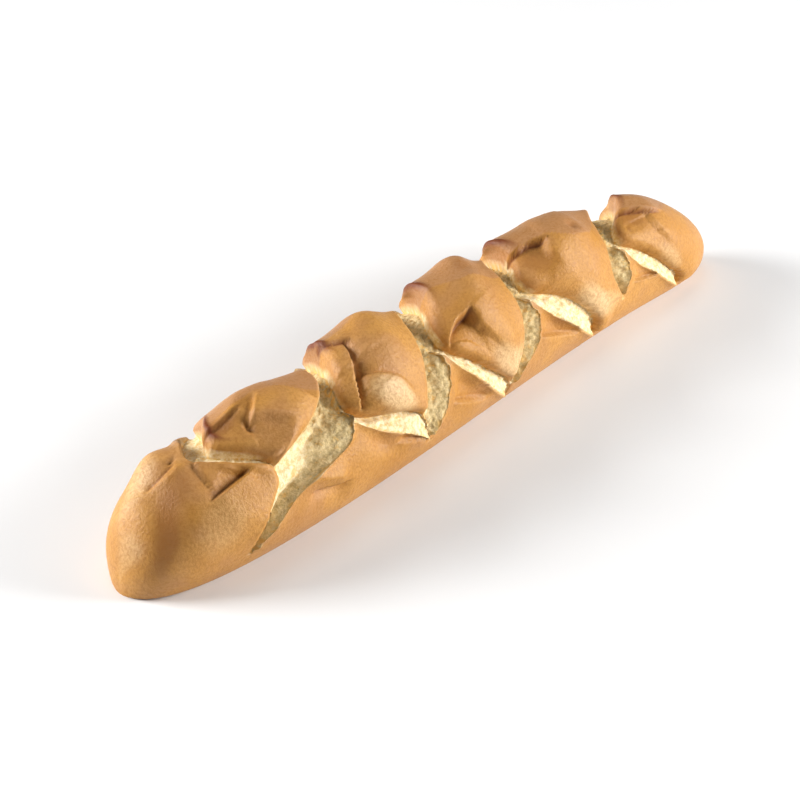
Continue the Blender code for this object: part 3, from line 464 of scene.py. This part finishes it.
def lobeLift(lobe, first, last, x, angle, nearOpen, farOpen):
    # A lobe's lift is its height times four shares: across the loaf, a power bell round the
    # crest; the rise, a wall and then a slope up to the ridge; a lower front; and the fall toward
    # the far edge. The torn edges step up from the crumb, and the ear swells, leans and is burnt.
    s = lobeShape
    toNear, toFar, both = s["ridgeGaps"]
    ridge = np.clip(placeAt(lobe["ridge"], angle), first + toNear, np.maximum(last - toFar, first + both))
    run, rest = x - first, last - x
    share = run / np.maximum(last - first, 1)
    room = step(*s["fadeWidths"], last - first)
    slope = np.clip(run / (ridge - first), 0, 1)
    underEar = bell(angle, lobe["tip"], s["wallSpread"])
    wall = lobe["cliff"] + (lobe["wall"] - lobe["cliff"]) * underEar
    wallRun = s["wallRun"] + (s["earWallRun"] - s["wallRun"]) * underEar
    reach = np.clip(run / wallRun, 0, 1)
    crisp = step(*s["crispAngles"][:2], angle) * (1 - step(*s["crispAngles"][2:], angle))
    crisp = crisp * (lobe["wall"] > s["crispWall"])
    face = np.sqrt(1 - (1 - reach) ** 2) * (1 - crisp) + reach ** s["crispPower"] * crisp
    straight = s["straightShare"] + (1 - s["straightShare"]) * crisp
    flap = slope ** (1 - (1 - s["flapPower"]) * crisp)
    rise = wall * face + (1 - wall) * (straight * flap + (1 - straight) * step(0, 1, slope))
    start, end, drop = lobe["close"]
    back = step(*s["backAngles"], angle)
    fall = 1 - (drop + s["backDrop"] * back) * step(start - s["backSooner"] * back, end, share)
    behind = angle > s["crest"]
    spread = np.where(behind, s["rearSpread"], lobe["spread"])
    squarer = s["acrossPower"] + s["cornerPower"] * bell(np.maximum(run, 0), 0, s["cornerReach"])
    across = np.exp(-np.abs((angle - s["crest"]) / spread) ** np.where(behind, squarer, s["acrossPower"]))
    front = 1 - s["frontLoss"] * (1 - step(0, s["frontLossEnd"], share))
    ear = bell(np.maximum(run, 0), 0, s["earReach"]) * bell(angle, lobe["tip"], s["earSpread"])
    lift = lobe["high"] * across * rise * front * fall + s["earSwell"] * ear * step(*s["earSwellRun"], run)
    later = step(*s["stepShares"], share)
    nearStep = (1 - later) * nearOpen * (1 - np.exp(-run / s["nearStepReach"]))
    farStep = later * farOpen * (1 - s["backEdgeLoss"] * back) * (1 - np.exp(-rest / s["farStepReach"]))
    foot = nearOpen * np.exp(-run / s["footReach"]) * (1 - step(*s["footAngles"], angle))
    onEar = bell(angle, lobe["tip"] - s["lipAhead"], s["lipSpread"])
    lip = s["lipHigh"] * bell(run, wallRun, s["lipReach"]) * onEar
    lift = lift + s["edgeStep"] * (nearStep + farStep) - s["footDepth"] * foot + lip
    return {"lift": room * lift, "lean": room * lobe["lean"] * ear * step(0, s["earWallRun"], run),
            "burntAndCreaseShade": room * np.minimum(1, s["burntShare"] * bell(run, wallRun, s["burntReach"]) * onEar),
            "rim": room * np.exp(-rest / s["rimReach"]) * farOpen}


def lobePaint(number, topShadeLine, first, x, angle, nearOpen):
    # A narrow strip of crumb at the foot of the wall, whose width is a soft random field, and the pinker
    # skin above the facet's line, painted shade for the dimmer light on the flat top, a cubic step in and a
    # longer one out.
    s = lobeShape
    least, usual, change, apart, seed, edge = s["crumbStrip"]
    calm = 1 - step(*s["crumbUntil"], angle)
    strip = least + calm * (usual + change * patches(angle / apart, np.full(angle.shape, number), seed))
    crumb = (1 - step(-edge, edge, x - first - strip)) * nearOpen
    crumb = crumb * step(*s["crumbFrom"], angle) * step(0, s["crumbStripFade"], calm)
    over = angle - np.interp(x, *zip(*topShadeLine))
    # painted shade: the flat top is pinker and duller
    pinkToneAndTopShade = step(-s["topShadeEdge"], s["topShadeEdge"], over) * (1 - step(*s["topShadeFade"], over))
    return {"crumb": crumb, "pinkToneAndTopShade": pinkToneAndTopShade}


def onTop(angle):      # 1 over the top, where the tears run together into channels, 0 on the sides
    return step(*crumbShape["channelFront"], angle) * (1 - step(*crumbShape["channelBack"], angle))


def tearSkin(heights, lobeNext, tearShade, first, last, share, x, angle, wide, corner):
    # The crumb goes from its height at the first edge down to its lowest place and up to the
    # last edge, shallower in a lobe's corner, and over the top it turns into a channel. Crags are
    # soft random fields, and flakes thin out as e to minus the way from the nearer edge.
    s = crumbShape
    before, lowest, after, valley = heights
    lowest = lowest * (s["shallowShare"] + (1 - s["shallowShare"]) * corner)
    if lobeNext:
        after = s["cornerLift"] + (after - s["cornerLift"]) * corner
    else:
        before = s["cornerLift"] + (before - s["cornerLift"]) * corner
    down = before + (lowest - before) * step(0, valley, share)
    up = lowest + (after - lowest) * (share - valley) / (1 - valley)
    top = onTop(angle)
    depth, extra, deepest, spread = s["channel"]
    channel = depth + extra * bell(angle, deepest, spread)
    crags = sum(high * patches(x / along, angle / around, seed) for high, along, around, seed in s["crags"])
    crags = crags * step(0, s["cragEnds"], share) * step(0, s["cragEnds"], 1 - share)
    reach, along, around, seed, edge = s["flake"]
    speckle = step(-edge, edge, patches(x / along, angle / around, seed))
    # painted shade: the crumb is greyer over the top's channel and, in a tear whose first edge is not
    # raised, from part of the way down to its lowest place on
    shaded = s["tearShadeTop"] * top
    if heights[0] <= 0:
        shaded = np.maximum(step(s["tearShadeShares"][0] * valley, s["tearShadeShares"][1] * valley, share), shaded)
    return {"lift": wide * (np.where(share < valley, down, up) * (1 - top) - channel * top + crags),
            "crumb": step(0.0, s["crumbWidth"], last - first), "tearShade": shaded * tearShade,
            "flake": np.exp(-np.minimum(x - first, last - x) / reach) * speckle}


def toothSkin(first, last, x, angle, leftOpen, rightOpen):
    # lips along both torn edges, each its height times e to minus the way over its reach, and the
    # tooth's point sunk into the channel
    s = toothShape
    top = onTop(angle)
    lips = np.exp(-(x - first) / s["leftReach"]) * leftOpen
    lips = lips + np.exp(-(last - x) / s["rightReach"]) * rightOpen
    rims = np.exp(-(x - first) / s["rimReach"]) * leftOpen
    rims = rims + s["rightRim"] * np.exp(-(last - x) / s["rimReach"]) * rightOpen
    # the tooth's point in the channel carries the channel's painted shade on its crumb
    return {"lift": s["lip"] * lips * (1 - top) - s["sink"] * top, "crumb": top,
            "tearShade": crumbShape["tearShadeTop"] * top, "rim": rims}


def bodyPoints(x, angle, lift, lean):
    # The plain body's section at x is half an oval over its widest line and a flatter curve below
    # it, cut off flat. Both are scaled by a cap, one less the share of the way to the tip to a high
    # power, under a root. The lift goes outward in the section's own direction.
    s = bodyShape
    stretch = (s["halfLong"] - s["shortFrom"]) / (s["halfLong"] - s["shortFrom"] - s["farShort"])
    t = np.where(x > s["shortFrom"], s["shortFrom"] + (x - s["shortFrom"]) * stretch, x) / s["halfLong"]
    cap = np.sqrt(np.maximum(1 - np.abs(t) ** s["endPower"], 0))
    half = s["halfWide"] * (1 + s["taper"] * t + s["swell"] * (1 - t * t))
    aside = s["bow"] * (1 - t * t) + s["skew"] * t + s["skewBack"] * t ** 3
    aside = aside + s["farSkew"] * step(s["farSkewFrom"], 1, t)
    tall = 2 * half * s["tallShare"]
    nose = (s["noseShare"] + (s["nearNose"] - s["noseShare"]) * step(s["nearNoseFrom"], 1, -t)) * tall
    belly = nose + (s["bellyShare"] * tall - nose) * cap
    top = nose + (tall - nose) * cap
    across, up = np.cos(np.radians(angle)), np.sin(np.radians(angle))
    under = belly - s["underDepth"] * s["bellyShare"] * tall * cap ** s["underPower"] * np.abs(up)
    z = np.where(up > 0, belly + (top - belly) * up, under)
    z = np.where(z > s["sole"], z, np.where(z < -s["sole"], 0, (z + s["sole"]) ** 2 / (4 * s["sole"])))
    hold = cap * step(*s["holdAngles"], np.where(angle > 90, 180 - angle, angle))
    along = x - lean * hold / np.maximum(cap, s["leastCap"])
    sideways = aside - half * cap * across - across * lift * hold
    return np.stack([along, sideways, z + up * lift * hold], -1) * mm


def loafSkin(share, angle):
    # Each row belongs to a block, and its share of the way between the block's two lines gives x.
    # The block's own form, then the bumps and the folds, lift the body's point there. What is
    # painted on the skin comes along as one field for each kind of finish.
    edges = tornEdges(angle[0])
    widths = [(last - first)[None, :] for first, last in zip(edges, edges[1:])]
    opening = [step(*tornEdge["openWidths"], width) for width in widths] + [np.zeros((1, angle.shape[1]))]
    kinds = ("lift", "lean", "crumb", "burntAndCreaseShade", "rim", "pinkToneAndTopShade", "tearShade", "flake")
    fields = {key: np.zeros(angle.shape) for key in kinds}
    x = np.zeros(angle.shape)
    row, lobeNumber = 0, 0
    for k, (kind, rows, *heights) in enumerate(blocks):
        here = slice(row, row + rows)
        row += rows
        first, last = edges[k][None, :], edges[k + 1][None, :]
        x[here] = first + (last - first) * share[here]
        place = (x[here], angle[here])
        nearOpen, farOpen = opening[max(k - 1, 0)], opening[k + 1]
        if kind == "lobe":
            made = lobeLift(lobes[lobeNumber], first, last, *place, nearOpen, farOpen)
            made.update(lobePaint(k, topShadeLines[lobeNumber], first, *place, nearOpen))
            lobeNumber += 1
        elif kind == "tear":
            lobeNext = blocks[k + 1][0] == "lobe"
            lobeWide = widths[k + 1] if lobeNext else widths[k - 1]
            corner = step(0, crumbShape["shallowWidth"], lobeWide) if k > crumbShape["lastEven"] else 1.0
            # which tears carry painted shade on their crumb
            tearShade = k > crumbShape["lastUnshaded"]
            made = tearSkin(heights, lobeNext, tearShade, first, last, share[here], *place, opening[k], corner)
        elif kind == "tooth":
            made = toothSkin(first, last, *place, nearOpen, farOpen)
        else:
            lip = np.exp(-(last - x[here]) / toothShape["endReach"])
            made = {"lift": toothShape["endLip"] * lip * farOpen}
        for key, value in made.items():
            fields[key][here] = value
    for bump in bumps:
        fields["lift"] += bump[-1] * np.exp(-awayFrom(bump, x, angle))
    for fold in folds:
        high, toastAndCreaseShade = foldLift(fold, x, angle)
        fields["lift"] += high * (1 - fields["crumb"])
        # the low side of a fold: toasted crust and painted shade in the crease
        fields["burntAndCreaseShade"] = np.maximum(fields["burntAndCreaseShade"], toastAndCreaseShade * (1 - fields["crumb"]))
    # painted highlights with late pale crust, and painted shade with browner crust, as soft spots
    for key, spots in (("lateCrustAndHighlight", lateCrustAndHighlight), ("browningAndShade", browningAndShade)):      # nearly even, with a soft border
        amount = sum(spot[-1] * np.exp(-awayFrom(spot, x, angle) ** 2) for spot in spots)
        fields[key] = np.minimum(amount, 1)
    return bodyPoints(x, angle, fields.pop("lift"), fields.pop("lean")), fields


gridShape = {
    "around": 230,              # columns round the loaf; the rows are the blocks'
    "tipStart": 0.02,           # share of the sine's quarter turn that is left out at a tip
    "lobeCrowd": 0.07,          # height of the sine that draws a lobe's rows toward its two edges
    "degrees": 721,
    "thickColumns": (-62, -40, 118, 140),       # columns stand closer between these angles
    "thinShare": 0.34,
    "leastGap": 0.08,           # rows closer than this, in millimetres, run together
}


def loafGrid():
    # share of the way through its block for each row, by a sine toward the tips and the tears, and
    # the angle of each column, spaced by the reciprocal of how many are wanted there
    s = gridShape
    shares = []
    for k, (kind, rows, *heights) in enumerate(blocks):
        v = np.linspace(0, 1, rows)
        if k == 0:
            v = 1 - np.cos(np.pi / 2 * np.linspace(s["tipStart"], 1, rows))
        elif k == len(blocks) - 1:
            v = np.sin(np.pi / 2 * np.linspace(0, 1 - s["tipStart"], rows))
        elif kind == "lobe":
            v = v - s["lobeCrowd"] * np.sin(2 * np.pi * v)
        shares.append(v)
    degrees = np.linspace(-90, 270, s["degrees"])
    thick = step(*s["thickColumns"][:2], degrees) * (1 - step(*s["thickColumns"][2:], degrees))
    thick = s["thinShare"] + (1 - s["thinShare"]) * thick
    along = np.concatenate([[0], np.cumsum((thick[1:] + thick[:-1]) / 2)])
    columns = np.interp(np.linspace(0, along[-1], s["around"], endpoint=False), along, degrees)
    return np.meshgrid(np.concatenate(shares), columns, indexing="ij")


def closedMesh(name, points, fields):
    # A grid closed round its second way, with a fan over each end. Rows that have run together
    # in a column become one corner, and a face that has lost all its width is left out.
    rows, around = points.shape[:2]
    count = rows * around
    apart = np.ones((rows, around), bool)
    apart[1:] = np.linalg.norm(points[1:] - points[:-1], axis=-1) > gridShape["leastGap"] * mm
    index = np.arange(count).reshape(rows, around)
    keep = np.maximum.accumulate(np.where(apart, index, -1), axis=0)
    beside = np.roll(keep, -1, axis=1)
    quads = np.stack([keep[:-1], keep[1:], beside[1:], beside[:-1]], -1).reshape(-1, 4)
    near, far = quads[:, 0] != quads[:, 1], quads[:, 2] != quads[:, 3]
    faces = quads[near & far].tolist()
    faces += quads[near & ~far][:, [0, 1, 2]].tolist() + quads[~near & far][:, [1, 2, 3]].tolist()
    faces += np.stack([np.full(around, count), keep[0], beside[0]], -1).tolist()
    faces += np.stack([np.full(around, count + 1), beside[-1], keep[-1]], -1).tolist()
    corners = np.concatenate([points.reshape(-1, 3), points[:1].mean(1), points[-1:].mean(1)])
    used = np.unique(np.concatenate([keep.ravel(), [count, count + 1]]))
    renumber = np.zeros(count + 2, np.int64)
    renumber[used] = np.arange(len(used))
    mesh = bpy.data.meshes.new(name)
    mesh.from_pydata(corners[used].tolist(), [], [[int(renumber[v]) for v in f] for f in faces])
    mesh.shade_smooth()
    for key, value in fields.items():
        layer = mesh.attributes.new(key, "FLOAT", "POINT")
        layer.data.foreach_set("value", np.append(value.ravel(), [0, 0])[used].astype(np.float32))
    thing = bpy.data.objects.new(name, mesh)
    bpy.context.collection.objects.link(thing)
    return thing


points, fields = loafSkin(*loafGrid())
flat = points.reshape(-1, 3)
middle = (flat.min(0) + flat.max(0)) / 2
offset = Vector((-middle[0], -middle[1], 0.0))       # the solid's own origin is under its middle
loaf = closedMesh("loafSkin", points + np.array(offset), fields)
loaf.data.calc_loop_triangles()
size = [round(v / mm, 1) for v in flat.max(0) - flat.min(0)]
print("loaf", len(loaf.data.loop_triangles), "triangles", size, "mm")

# finish of the crust and of the torn crumb: colours, shine and relief
finish = {
    "crust": (0.48, 0.226, 0.049),
    "crustLight": (0.56, 0.283, 0.076),
    "crustDark": (0.32, 0.125, 0.026),
    # pinker, duller crust: laid on at random by the pinker noise, and as painted shade on the flat tops
    "pinkToneAndTopShade": (0.43, 0.22, 0.10),
    # paler crust that opened late, also used as painted highlight
    "paleCrustAndHighlight": (0.76, 0.54, 0.29),
    # browner crust, used mostly as painted shade in hollows and pockets
    "browningAndShade": (0.26, 0.10, 0.03),
    "rim": (0.76, 0.56, 0.28),
    # burnt crust on the ears' edges, also used as painted shade along the low side of folds
    "burntAndCreaseShade": (0.17, 0.045, 0.014),
    "crumb": (0.88, 0.75, 0.50),
    "crumbShade": (0.68, 0.49, 0.22),
    # painted shade on the crumb: a lighter and a darker grey, mixed by noise
    "tearShade": (0.70, 0.53, 0.27),
    "tearShadeDark": (0.36, 0.25, 0.095),
    "flake": (0.72, 0.42, 0.11),
    "roughness": (0.43, 0.9),       # of the crust and of the crumb
    "relief": (0.26, 0.45),
    "reliefDistance": 0.0008,
    "specular": 0.22,
}

# noise: how many to the metre, detail, its roughness, and the band of values that is used
grain = {
    "broad": (22, 3, 0.6, 0.35, 0.65),
    "pinker": (34, 2, 0.6, 0.46, 0.66),
    "speckle": (620, 3, 0.7, 0.35, 0.75),
    "pores": (620, 3, 0.7, 0.30, 0.70),
    "crumbGrain": (420, 4, 0.75, 0.35, 0.65),
    # noise that mixes the two greys of the crumb's painted shade
    "greyCrumb": (260, 5, 0.75, 0.35, 0.62),
    "golden": (190, 4, 0.7, 0.57, 0.66),
    "crumbPores": (300, 4, 0.7, 0.3, 0.7),
}

# what is laid over the crust and over the crumb, in order: field of the skin or noise, how much
# of it at most, and its colour
# these layers include painted shade on the flat tops, in pockets and hollows, and painted highlights on the
# near end
crustLayers = [("pinker", 0.45, "pinkToneAndTopShade"), ("pinkToneAndTopShade", 0.8, "pinkToneAndTopShade"), ("lateCrustAndHighlight", 0.75, "paleCrustAndHighlight"),
               ("browningAndShade", 0.75, "browningAndShade"), ("rim", 0.8, "rim"), ("speckle", 0.55, "crustDark")]
crumbLayers = [("golden", 0.6, "flake"), ("flake", 0.85, "flake")]
# the most of the painted shade that is laid over the crumb
tearShadeMost = 0.85


def makeBread(name):
    # each layer's colour is mixed over the last by its share, and the crumb's over the crust's
    material = bpy.data.materials.new(name)
    material.use_nodes = True
    tree = material.node_tree
    shader = tree.nodes["Principled BSDF"]
    place = tree.nodes.new("ShaderNodeTexCoord").outputs["Object"]

    def field(key):      # a value that the skin carries
        n = tree.nodes.new("ShaderNodeAttribute")
        n.attribute_name = key
        return n.outputs["Fac"]

    def ramp(value, low, high, start, end):      # from start to end by the cubic step of the value
        n = tree.nodes.new("ShaderNodeMapRange")
        n.interpolation_type = "SMOOTHSTEP"
        for key, v in (("From Min", low), ("From Max", high), ("To Min", start), ("To Max", end)):
            n.inputs[key].default_value = v
        tree.links.new(value, n.inputs["Value"])
        return n.outputs["Result"]

    def share(key, most=1.0):      # a noise, or a field of the skin, up to the most that it may give
        if key not in grain:
            return ramp(field(key), 0, 1, 0, most)
        scale, detail, rough, low, high = grain[key]
        n = tree.nodes.new("ShaderNodeTexNoise")
        for socket, v in (("Scale", scale), ("Detail", detail), ("Roughness", rough)):
            n.inputs[socket].default_value = v
        tree.links.new(place, n.inputs["Vector"])
        return ramp(n.outputs["Fac"], low, high, 0, most)

    def mix(amount, a, b):      # a times one less the amount, plus b times the amount
        n = tree.nodes.new("ShaderNodeMix")
        n.data_type = "RGBA"
        for socket, v in zip((n.inputs[0], n.inputs[6], n.inputs[7]), (amount, a, b)):
            if isinstance(v, tuple):
                socket.default_value = (*v, 1)
            else:
                tree.links.new(v, socket)
        return n.outputs[2]

    crust = mix(share("broad"), finish["crust"], finish["crustLight"])
    for key, most, colour in crustLayers:
        crust = mix(share(key, most), crust, finish[colour])
    # burnt crust, and painted shade along the folds' low sides
    crust = mix(field("burntAndCreaseShade"), crust, finish["burntAndCreaseShade"])
    crumb = mix(share("crumbGrain"), finish["crumbShade"], finish["crumb"])
    # painted shade on the crumb, laid on where the skin's field asks for it
    shaded = mix(share("greyCrumb"), finish["tearShadeDark"], finish["tearShade"])
    crumb = mix(share("tearShade", tearShadeMost), crumb, shaded)
    for key, most, colour in crumbLayers:
        crumb = mix(share(key, most), crumb, finish[colour])
    tree.links.new(mix(field("crumb"), crust, crumb), shader.inputs["Base Color"])
    tree.links.new(ramp(field("crumb"), 0, 1, *finish["roughness"]), shader.inputs["Roughness"])
    shader.inputs["Specular IOR Level"].default_value = finish["specular"]
    bump = tree.nodes.new("ShaderNodeBump")
    bump.inputs["Distance"].default_value = finish["reliefDistance"]
    tree.links.new(ramp(field("crumb"), 0, 1, *finish["relief"]), bump.inputs["Strength"])
    tree.links.new(mix(field("crumb"), share("pores"), share("crumbPores")), bump.inputs["Height"])
    tree.links.new(bump.outputs["Normal"], shader.inputs["Normal"])
    return material


loaf.data.materials.append(makeBread("crust"))
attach(loaf, "root")
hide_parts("loaf")
print("finish made")

# floor and studio light: a softbox on the left behind, one on the right in front, a weak one on
# top, each with its place in metres, its size and its power, and a faint white surround
studio = {
    "floorHalf": 3.0,
    "floorColour": (0.86, 0.86, 0.86, 1),
    "floorRoughness": 0.9,
    "lights": {
        "leftBox": ((-1.05, 1.1, 0.62), 0.9, 48),
        "rightBox": ((1.10, -1.25, 0.56), 0.9, 53),
        "topBox": ((0.0, 0.2, 1.6), 0.8, 4),
    },
    "aim": (0, 0, 0.03),
    "surround": 0.06,
}
f = studio["floorHalf"]
floorMesh = bpy.data.meshes.new("floor")
floorMesh.from_pydata([(-f, -f, 0), (f, -f, 0), (f, f, 0), (-f, f, 0)], [], [(0, 1, 2, 3)])
floorPlane = bpy.data.objects.new("floor", floorMesh)
bpy.context.collection.objects.link(floorPlane)
floorFinish = bpy.data.materials.new("floor")
floorFinish.use_nodes = True
floorShader = floorFinish.node_tree.nodes["Principled BSDF"]
floorShader.inputs["Base Color"].default_value = studio["floorColour"]
floorShader.inputs["Roughness"].default_value = studio["floorRoughness"]
floorMesh.materials.append(floorFinish)

for name, (place, across, power) in studio["lights"].items():
    data = bpy.data.lights.new(name, "AREA")
    data.size = across
    data.energy = power
    lamp = bpy.data.objects.new(name, data)
    bpy.context.collection.objects.link(lamp)
    lamp.location = place
    lamp.rotation_euler = (Vector(studio["aim"]) - Vector(place)).to_track_quat("-Z", "Y").to_euler()
world = bpy.data.worlds.new("studio")
world.use_nodes = True
surround = world.node_tree.nodes["Background"]
surround.inputs["Color"].default_value = (1, 1, 1, 1)
surround.inputs["Strength"].default_value = studio["surround"]
bpy.context.scene.world = world
print("floor and lights placed")

# camera at the photograph's angle: it looks past the loaf's middle, which stands a little
# right of the picture's middle and above it
cameraView = {
    "azimuth": -46.207,     # degrees round the loaf, from straight in front
    "elevation": 33.5,
    "away": 1.35,           # metres from the look point
    "look": (0.0, 0.0, 0.033),
    "lens": 120.65,
    "sensor": 36.0,
    "image": 800,
    "lookPixel": (432.53, 354.81),
}


def placeCamera(v):
    # The camera stands away from the look point, along the direction that the two angles give. Its
    # axis is that direction less the pixel's way from the middle over the focal length in pixels.
    a, e = math.radians(v["azimuth"]), math.radians(v["elevation"])
    back = Vector((math.sin(a) * math.cos(e), -math.cos(a) * math.cos(e), math.sin(e)))
    right = Vector((math.cos(a), math.sin(a), 0))
    up = back.cross(right)
    focal = v["lens"] / v["sensor"] * v["image"]
    middlePixel = v["image"] / 2
    axis = (back - right * ((middlePixel - v["lookPixel"][0]) / focal)
            + up * ((middlePixel - v["lookPixel"][1]) / focal)).normalized()
    side = (right - right.dot(axis) * axis).normalized()
    data = bpy.data.cameras.new("camera")
    data.lens = v["lens"]
    data.sensor_width = v["sensor"]
    thing = bpy.data.objects.new("camera", data)
    bpy.context.collection.objects.link(thing)
    place = Vector(v["look"]) + offset + back * v["away"]
    turned = Matrix((side, axis.cross(side), axis)).transposed().to_4x4()
    thing.matrix_world = Matrix.Translation(place) @ turned
    bpy.context.scene.camera = thing


placeCamera(cameraView)
bpy.context.scene.view_settings.view_transform = "Standard"
print("camera placed")
